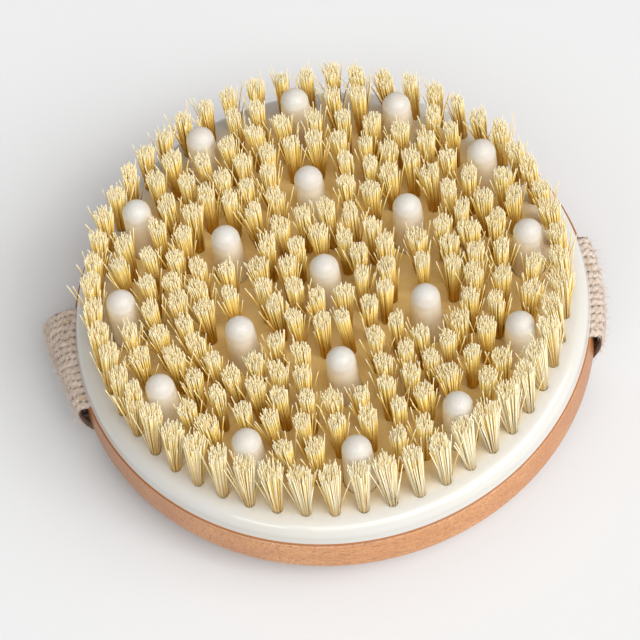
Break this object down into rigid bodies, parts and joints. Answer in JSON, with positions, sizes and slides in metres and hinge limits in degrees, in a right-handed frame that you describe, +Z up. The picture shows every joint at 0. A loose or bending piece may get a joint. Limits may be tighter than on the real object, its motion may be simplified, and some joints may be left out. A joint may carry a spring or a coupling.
{
  "type": "bath brush",
  "caption": "Round hand brush with a turned wooden back, a plastic face of fibre tufts and round-topped massage nodules, and a webbing hand strap across the back.",
  "frame": {"origin": "on the surface that the brush lies on, at the flat underside of the hand strap, on the axis of the round head", "axes": "+Z up along the axis of the round head, towards the bristle tips; +X along the hand strap; +Y across it"},
  "size_m": [0.1392, 0.1288, 0.043],
  "materials": {
    "beech": "satin lacquered beech",
    "ivory_plastic": "glossy",
    "bristle_fibre": "dry plant fibre",
    "nodule_rubber": "matte",
    "webbing": "coarse ribbed cotton",
    "staple_steel": "drawn wire"
  },
  "bodies": {
    "root": {"wooden_back": "beech", "bristle_plate": "ivory_plastic", "hand_strap": "webbing", "tufts_centre": "bristle_fibre", "tufts_inner": "bristle_fibre", "tufts_middle": "bristle_fibre", "tufts_outer": "bristle_fibre", "massage_nodule_01": "nodule_rubber", "massage_nodule_02": "nodule_rubber", "massage_nodule_03": "nodule_rubber", "massage_nodule_04": "nodule_rubber", "massage_nodule_05": "nodule_rubber", "massage_nodule_06": "nodule_rubber", "massage_nodule_07": "nodule_rubber", "massage_nodule_08": "nodule_rubber", "massage_nodule_09": "nodule_rubber", "massage_nodule_10": "nodule_rubber", "massage_nodule_11": "nodule_rubber", "massage_nodule_12": "nodule_rubber", "massage_nodule_13": "nodule_rubber", "massage_nodule_14": "nodule_rubber", "massage_nodule_15": "nodule_rubber", "massage_nodule_16": "nodule_rubber", "massage_nodule_17": "nodule_rubber", "massage_nodule_18": "nodule_rubber", "massage_nodule_19": "nodule_rubber", "strap_staple_left_far": "staple_steel", "strap_staple_left_near": "staple_steel", "strap_staple_right_far": "staple_steel", "strap_staple_right_near": "staple_steel"}
  },
  "joints": []
}
